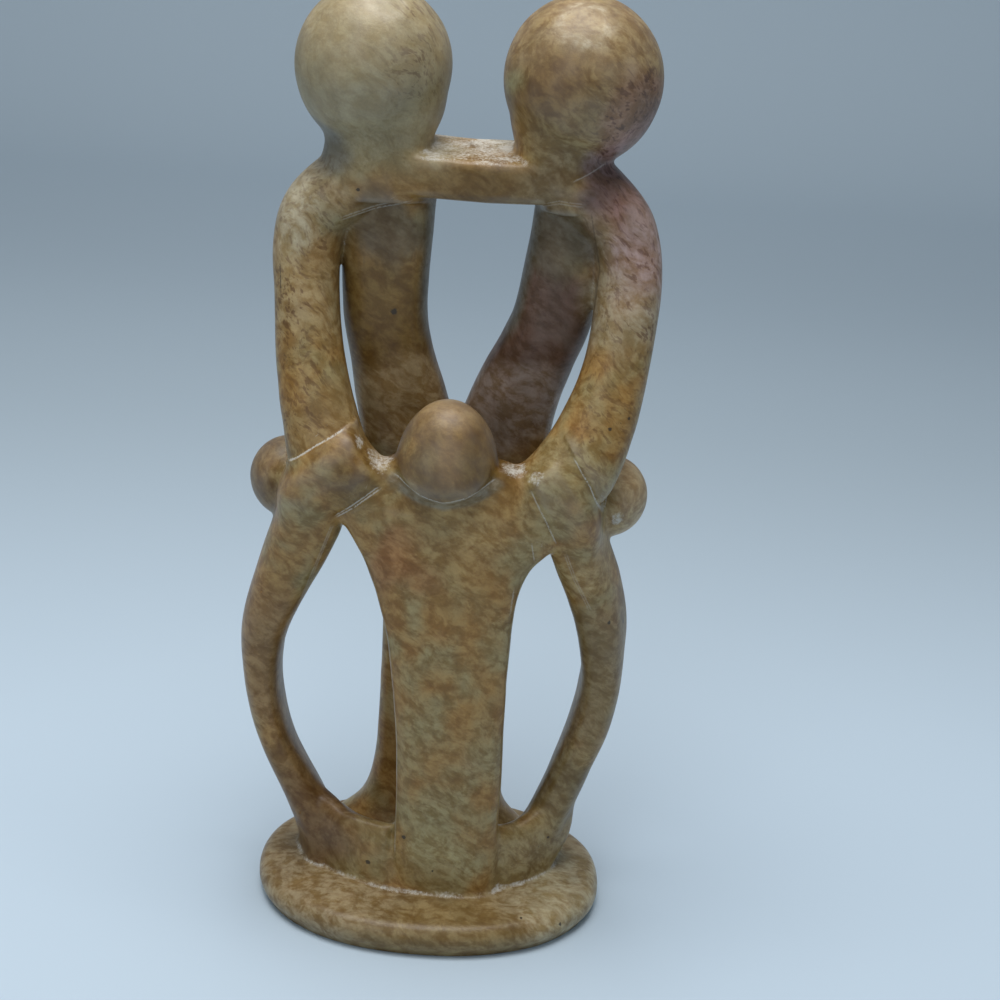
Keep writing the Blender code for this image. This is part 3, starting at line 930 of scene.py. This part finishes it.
def line_map(layout, normals):
    """Side of the nearest line, half the gap of a double one, and strength, per vertex; the lines are
    scratches, with one painted highlight and one painted shade.
    """
    x, y, z = layout.T
    nearest = np.full(len(x), LINE_REACH)
    found = np.zeros((len(x), 3))
    found[:, 0] = LINE_FAR
    for depth, reach, strength, split, line in SCRATCHES_AND_PAINTED_LIGHT_LINES:
        gap, side = to_line(x, z, line)
        beyond = np.sqrt(np.maximum(gap ** 2 - side ** 2, 0.0))
        faded = strength * fall(beyond, 0.0, LINE_TAPER) * fall(gap, *LINE_FADE)
        here = (gap < nearest) & (np.abs(y - depth) < reach) & (normals[:, 1] < 0.0)
        values = np.stack((side, np.full(len(x), split), faded), axis=1)
        found[here] = values[here]
        nearest[here] = gap[here]
    return found


def pit_map(layout):
    """Offset from the nearest pit in pit radii, set far off elsewhere."""
    found = np.full((len(layout), 3), PIT_FAR)
    for x, y, z, radius in PITS:
        offset = (layout - np.array((x, y, z))) / radius
        near = np.linalg.norm(offset, axis=1) < PIT_REACH / radius
        found[near] = offset[near]
    return found


def clouded(colour, loose, shade, clouds):
    """Colours with soft-edged clouds laid over them."""
    for centre, radius, softness, tone in clouds:
        gap = away(loose, centre)
        share = CLOUD_SHARE * fall(gap, radius - softness / 2, radius + softness / 2)
        colour = mixed(colour, np.array(tone) * shade, share)
    return colour


def stone_and_painted_light_colours(points, layout, normals):
    """Gold and grey-green stone under the block's clouds, three of them painted light, and a painted
    shade under the chin; the alpha is the pattern's strength.
    """
    x, y, z = layout.T
    gold = ramp(fractal(points, *NOISES["gold and green"]), -0.40, 0.40)
    colour = mixed(np.array(GREEN), np.array(GOLD), gold)
    drift = CLOUD_EDGE_REACH * drifts(points, *NOISES["cloud edges"])
    loose = layout + drift
    shade = (1 + 0.30 * fractal(points, *NOISES["shade"]))[:, None]
    colour = clouded(colour, loose, shade, CLOUDS_AND_PAINTED_LIGHT)
    for centre, radius in RINGS:
        gap = away(layout + RING_RAGGED * drift, centre)
        ring = RING_SHARE * np.exp(-((gap - radius) / RING_WIDTH) ** 2)
        colour = mixed(colour, np.array(RING_TONE), ring)
    base = clouded(np.array(BASE_STONE) * shade, loose, shade, BASE_CLOUDS)
    colour = mixed(colour, base, fall(z, *BASE_TOP))
    # Painted shade: a grey band on the underside of the front child's chin
    gap, _ = to_line(x, z, CHIN)
    chin_shade = fall(gap, *CHIN_EDGE) * (y < CHIN_FRONT) * (normals[:, 1] < 0.0)
    colour = mixed(colour, np.array(CHIN_SHADE_TONE), SHADE_AND_GREY_SHARE * chin_shade)
    inner = ramp(-np.sign(x) * normals[:, 0], *INNER_FACING) * within(z, INNER_HEIGHTS)
    inner *= np.abs(x) < INNER_REACH
    colour = mixed(colour, np.array(INNER_TONE) * shade, SHADE_AND_GREY_SHARE * inner)
    return np.column_stack((colour, pattern_of(points, layout)))


def pattern_of(points, layout):
    """Strength of mottle and net: calm on the left head, boldest at the left of the base."""
    x, _, z = layout.T
    strength = PATTERN + PATTERN_UPPER_STRENGTH * ramp(z, *PATTERN_UPPER)
    for centre, edge, added in PATTERN_HEADS:
        strength += added * fall(away(layout, centre), *edge)
    strength += PATTERN_BASE_STRENGTH * fall(x, *PATTERN_BASE_SIDE) * fall(z, *PATTERN_BASE_TOP)
    patches = 1 + PATTERN_PATCHES * fractal(points, *NOISES["pattern"])
    return np.clip(strength * patches, 0.0, 1.0)


def streaks_of(points, layout):
    """Where short dark strokes lie thickest: the arms, the right shoulder, half the left head."""
    x, _, z = layout.T
    arms = ramp(np.abs(x), 24.0, 30.0) * within(z, (100.0, 110.0, 164.0, 172.0))
    head = within(x, (-21.0, -12.0, -4.0, 0.0)) * ramp(z, 176.0, 186.0)
    shoulder = ramp(x, 20.0, 30.0) * within(z, (150.0, 160.0, 186.0, 196.0))
    dense = np.maximum(0.62 * np.maximum(arms, head), 0.95 * shoulder)
    patchy = 0.70 + 0.60 * fractal(points, *NOISES["stroke patches"])
    return np.clip((0.20 + dense) * patchy, 0.0, 1.0)


def wear_and_sheen(data):
    """Colours, dust, strokes, scratches and pits, with the painted light and shade among them, kept as
    attributes for the stone.
    """
    points = points_of(data)
    normals = normals_of(data)
    layout = in_layout(points)
    bend = bend_of(data, points, normals)
    # Convex edges: partly rubbed wear, partly a painted highlight along them
    rubbed_sheen = ramp(-bend, *RUBBED_SHEEN) * ramp(layout[:, 2], *RUBBED_SHEEN_ABOVE)
    dust = dust_of(points, normals, bend)
    streaks = streaks_of(points, layout)
    drift = DRIFT_REACH * drifts(points, *NOISES["drift"])
    store(data, "wear_and_sheen", "FLOAT_VECTOR", "vector", np.column_stack((dust, rubbed_sheen, streaks)))
    store(data, "line_marks", "FLOAT_VECTOR", "vector", line_map(layout, normals))
    store(data, "pit", "FLOAT_VECTOR", "vector", pit_map(layout))
    store(data, "drift", "FLOAT_VECTOR", "vector", drift)
    store(data, "stone_and_painted_light", "FLOAT_COLOR", "color", stone_and_painted_light_colours(points, layout, normals))


def store(data, name, kind, field, values):
    """Keep one value per vertex under a name."""
    layer = data.attributes.new(name, kind, "POINT")
    layer.data.foreach_set(field, values.astype(np.float32).ravel())


class Graph:
    """A material's nodes, wired by short calls that return sockets."""

    def __init__(self, material):
        material.use_nodes = True
        self.nodes = material.node_tree.nodes
        self.links = material.node_tree.links
        self.shader = self.nodes["Principled BSDF"]

    def put(self, socket, value):
        """Link a socket to another, or give it a constant."""
        if isinstance(value, bpy.types.NodeSocket):
            self.links.new(value, socket)
        else:
            socket.default_value = value

    def put_colour(self, socket, value):
        """Link a colour socket, or give it an opaque colour."""
        self.put(socket, value if isinstance(value, bpy.types.NodeSocket) else (*value, 1.0))

    def math(self, operation, first, second=0.0, clamp=False):
        """One arithmetic step."""
        node = self.nodes.new("ShaderNodeMath")
        node.operation = operation
        node.use_clamp = clamp
        self.put(node.inputs[0], first)
        self.put(node.inputs[1], second)
        return node.outputs[0]

    def swing(self, value, reach, middle=0.0):
        """Noise around 0.5 turned into a value around the middle."""
        return self.math("ADD", self.math("MULTIPLY", value, reach), middle - reach / 2)

    def vector(self, operation, first, second=(0.0, 0.0, 0.0), output=0):
        """One vector step."""
        node = self.nodes.new("ShaderNodeVectorMath")
        node.operation = operation
        self.put(node.inputs[0], first)
        self.put(node.inputs[1], second)
        return node.outputs[output]

    def parts(self, value):
        """The three numbers of a vector."""
        node = self.nodes.new("ShaderNodeSeparateXYZ")
        self.put(node.inputs[0], value)
        return node.outputs

    def noise(self, where, scale, detail=2.0, roughness=0.5):
        """Cloudy noise around 0.5."""
        node = self.nodes.new("ShaderNodeTexNoise")
        self.put(node.inputs["Vector"], where)
        node.inputs["Scale"].default_value = scale
        node.inputs["Detail"].default_value = detail
        node.inputs["Roughness"].default_value = roughness
        return node.outputs["Fac"]

    def cells(self, where, scale):
        """Distance to the borders of rounded cells."""
        node = self.nodes.new("ShaderNodeTexVoronoi")
        node.feature = "DISTANCE_TO_EDGE"
        self.put(node.inputs["Vector"], where)
        node.inputs["Scale"].default_value = scale
        return node.outputs["Distance"]

    def step(self, value, low, high):
        """Smooth step: 0 at low, 1 at high, either way round."""
        node = self.nodes.new("ShaderNodeMapRange")
        node.interpolation_type = "SMOOTHSTEP"
        self.put(node.inputs["Value"], value)
        rising = high > low
        node.inputs["From Min"].default_value = low if rising else high
        node.inputs["From Max"].default_value = high if rising else low
        node.inputs["To Min"].default_value = 0.0 if rising else 1.0
        node.inputs["To Max"].default_value = 1.0 if rising else 0.0
        return node.outputs["Result"]

    def blend(self, share, first, second, kind="MIX"):
        """Colour blend."""
        node = self.nodes.new("ShaderNodeMix")
        node.data_type = "RGBA"
        node.blend_type = kind
        self.put(node.inputs[0], share)
        self.put_colour(node.inputs[6], first)
        self.put_colour(node.inputs[7], second)
        return node.outputs[2]

    def tinted(self, share, colour, tint):
        """A colour multiplied by a tint, by a share."""
        return self.blend(share, colour, tint, "MULTIPLY")

    def attribute(self, name, output="Vector"):
        """Values kept on the mesh."""
        node = self.nodes.new("ShaderNodeAttribute")
        node.attribute_name = name
        return node.outputs[output]

    def stretched(self, where, tilt, long_size):
        """Places squeezed along a tilt in front view, so that noise becomes strokes."""
        node = self.nodes.new("ShaderNodeMapping")
        node.vector_type = "TEXTURE"
        self.put(node.inputs["Vector"], where)
        node.inputs["Rotation"].default_value = (0.0, -math.radians(tilt), 0.0)
        node.inputs["Scale"].default_value = (long_size, 1.0, 1.0)
        return node.outputs["Vector"]


def marked_lines(graph, grain):
    """Pale and dark lines as two masks, their edges and ends broken by the grain: scratches, a painted
    highlight and a painted shade.
    """
    side, split, strength = graph.parts(graph.attribute("line_marks"))
    side = graph.math("ADD", side, graph.swing(grain, LINE_WOBBLE))
    from_line = graph.math("ABSOLUTE", graph.math("SUBTRACT", graph.math("ABSOLUTE", side), split))
    line = graph.step(from_line, *LINE_WIDTH)
    line = graph.math("MULTIPLY", line, graph.step(grain, *LINE_BREAKS))
    pale = graph.math("MULTIPLY", line, strength, clamp=True)
    dark = graph.math("MULTIPLY", line, graph.math("MULTIPLY", strength, -1.0), clamp=True)
    return pale, dark


def patterned(graph, place, grain, streaks):
    """The stone's colour, painted light and shade included: mottle, net of veins, short strokes and
    specks.
    """
    pattern = graph.attribute("stone_and_painted_light", "Alpha")
    ragged = graph.vector("ADD", place, graph.attribute("drift"))
    slanted = graph.stretched(ragged, MOTTLE_TILT, MOTTLE_STRETCH)
    mottle = graph.step(graph.noise(slanted, *MOTTLE_NOISE), *MOTTLE_EDGE)
    mottle = graph.blend(mottle, DARK_TINT, PALE_TINT)
    colour = graph.tinted(pattern, graph.attribute("stone_and_painted_light", "Color"), mottle)
    net = graph.step(graph.cells(slanted, NET_SCALE), NET_WIDTH, 0.0)
    net = graph.math("MULTIPLY", net, graph.math("MULTIPLY", pattern, NET_SHARE))
    colour = graph.tinted(net, colour, VEIN)
    steep = graph.stretched(ragged, STROKE_TILT, STROKE_STRETCH)
    strokes = graph.step(graph.noise(steep, *STROKE_NOISE), *STROKE_EDGE)
    colour = graph.tinted(graph.math("MULTIPLY", strokes, streaks), colour, STROKE)
    return graph.tinted(1.0, colour, graph.blend(grain, DARK_SPECK, PALE_SPECK))


def powdered_and_sheened(graph, grain, dust, rubbed_sheen, pale):
    """Where pale powder covers the stone: dust, pale scratches, a painted highlight line, and rubbed
    edges that also carry a painted highlight.
    """
    powder_and_sheen = graph.step(graph.math("ADD", dust, graph.swing(grain, DUST_SPECKLE)), *DUST_EDGE)
    powder_and_sheen = graph.math("MULTIPLY", powder_and_sheen, graph.step(dust, *DUST_START))
    powder_and_sheen = graph.math("MAXIMUM", graph.math("MULTIPLY", powder_and_sheen, DUST_SHARE), pale)
    return graph.math("MAXIMUM", powder_and_sheen, graph.math("MULTIPLY", rubbed_sheen, RUBBED_SHEEN_SHARE))


def pitted_and_shaded(graph, grain, dark):
    """Where pits, dark scratches and a painted shade line darken the stone."""
    hole = graph.vector("LENGTH", graph.attribute("pit"), output=1)
    hole = graph.step(graph.math("ADD", hole, graph.swing(grain, PIT_RAGGED)), *PIT_EDGE)
    return graph.math("MAXIMUM", graph.math("MULTIPLY", hole, PIT_SHARE), dark)


def soapstone():
    """Waxed mottled soapstone with pale dust in the cuts; noise places are in millimetres."""
    material = bpy.data.materials.new("soapstone")
    graph = Graph(material)
    source = graph.nodes.new("ShaderNodeTexCoord").outputs["Object"]
    place = graph.vector("MULTIPLY", source, (1000.0, 1000.0, 1000.0))
    dust, rubbed_sheen, streaks = graph.parts(graph.attribute("wear_and_sheen"))
    grain = graph.noise(place, *GRAIN_NOISE)
    pale, dark = marked_lines(graph, grain)
    powder_and_sheen = powdered_and_sheened(graph, grain, dust, rubbed_sheen, pale)
    colour = graph.blend(powder_and_sheen, patterned(graph, place, grain, streaks), DUST_AND_SHEEN)
    colour = graph.blend(pitted_and_shaded(graph, grain, dark), colour, PIT_AND_SHADE)
    graph.put(graph.shader.inputs["Base Color"], colour)

    rough = graph.swing(grain, ROUGHNESS_SWING, ROUGHNESS)
    rough = graph.math("ADD", rough, graph.math("MULTIPLY", powder_and_sheen, DUST_ROUGHNESS), clamp=True)
    graph.put(graph.shader.inputs["Roughness"], rough)
    graph.shader.inputs["Specular IOR Level"].default_value = SPECULAR
    bump = graph.nodes.new("ShaderNodeBump")
    bump.inputs["Strength"].default_value = GRAIN_STRENGTH
    bump.inputs["Distance"].default_value = GRAIN_HEIGHT
    graph.put(bump.inputs["Height"], grain)
    graph.put(graph.shader.inputs["Normal"], bump.outputs[0])
    return material


def studio_paper():
    """Matt pale paper, darkened by painted shade where it runs back and lightened by painted light up
    the wall.
    """
    material = bpy.data.materials.new("studio_paper")
    graph = Graph(material)
    source = graph.nodes.new("ShaderNodeTexCoord").outputs["Object"]
    back = graph.parts(source)[1]
    # Painted shade deepening towards the back, then painted light up the wall
    tone = graph.blend(graph.step(back, *PAPER_SHADE_DEEPENS), PAPER, PAPER_SHADED_BEHIND)
    tone = graph.blend(graph.step(back, *PAPER_RISES), tone, PAPER_LIT_WALL)
    graph.put(graph.shader.inputs["Base Color"], tone)
    graph.shader.inputs["Roughness"].default_value = 0.9
    graph.shader.inputs["Specular IOR Level"].default_value = 0.2
    return material


def backdrop():
    """A pale surface that runs back and curves up into a wall."""
    mesh = bmesh.new()
    profile = [(PAPER_FRONT, 0.0), (PAPER_BACK, 0.0)]
    for step in range(1, PAPER_STEPS + 1):
        angle = math.pi / 2 * step / PAPER_STEPS
        y = PAPER_BACK + PAPER_BEND * math.sin(angle)
        profile.append((y, PAPER_BEND * (1 - math.cos(angle))))
    profile.append((PAPER_BACK + PAPER_BEND, PAPER_HEIGHT))
    rows = []
    for y, z in profile:
        rows.append([mesh.verts.new((x, y, z)) for x in (-PAPER_HALF_WIDTH, PAPER_HALF_WIDTH)])
    for near, far in zip(rows, rows[1:]):
        mesh.faces.new((near[0], near[1], far[1], far[0]))
    data = bpy.data.meshes.new("studio_floor")
    mesh.to_mesh(data)
    mesh.free()
    floor = bpy.data.objects.new("studio_floor", data)
    bpy.context.scene.collection.objects.link(floor)
    floor.data.shade_smooth()
    floor.data.materials.append(studio_paper())
    return floor


def lamp(name, place, target, size, power, colour):
    """A soft square light aimed at a target."""
    light = bpy.data.lights.new(name, "AREA")
    light.shape = "SQUARE"
    light.size = size
    light.energy = power
    light.color = colour
    item = bpy.data.objects.new(name, light)
    item.location = place
    aim = Vector(target) - Vector(place)
    item.rotation_euler = aim.to_track_quat("-Z", "Y").to_euler()
    bpy.context.scene.collection.objects.link(item)


def lights():
    """A broad lamp overhead, a weak one at the front, and dim cool surroundings."""
    for row in LAMPS:
        lamp(*row)
    world = bpy.data.worlds.new("surroundings")
    world.use_nodes = True
    background = world.node_tree.nodes["Background"]
    background.inputs["Color"].default_value = SURROUNDINGS
    background.inputs["Strength"].default_value = SURROUNDINGS_STRENGTH
    bpy.context.scene.world = world


def camera():
    """Stand the camera where the photograph was taken."""
    ahead = Vector((0.0, math.cos(PITCH), -math.sin(PITCH)))
    right = Vector((1.0, 0.0, 0.0))
    up = right.cross(ahead)
    picture_right = right * math.cos(ROLL) + up * math.sin(ROLL)
    picture_up = up * math.cos(ROLL) - right * math.sin(ROLL)
    turn = Matrix((picture_right, picture_up, -ahead)).transposed().to_4x4()
    data = bpy.data.cameras.new("camera")
    data.lens = LENS
    data.sensor_width = SENSOR
    data.sensor_fit = "HORIZONTAL"
    data.clip_start = 0.01
    item = bpy.data.objects.new("camera", data)
    item.matrix_world = Matrix.Translation(CAMERA_PLACE) @ turn
    bpy.context.scene.collection.objects.link(item)
    bpy.context.scene.camera = item


carving = carve()
carving.data.materials.append(soapstone())
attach(carving, "root")
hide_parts(NODE)
backdrop()
lights()
camera()
bpy.context.scene.view_settings.view_transform = "Standard"
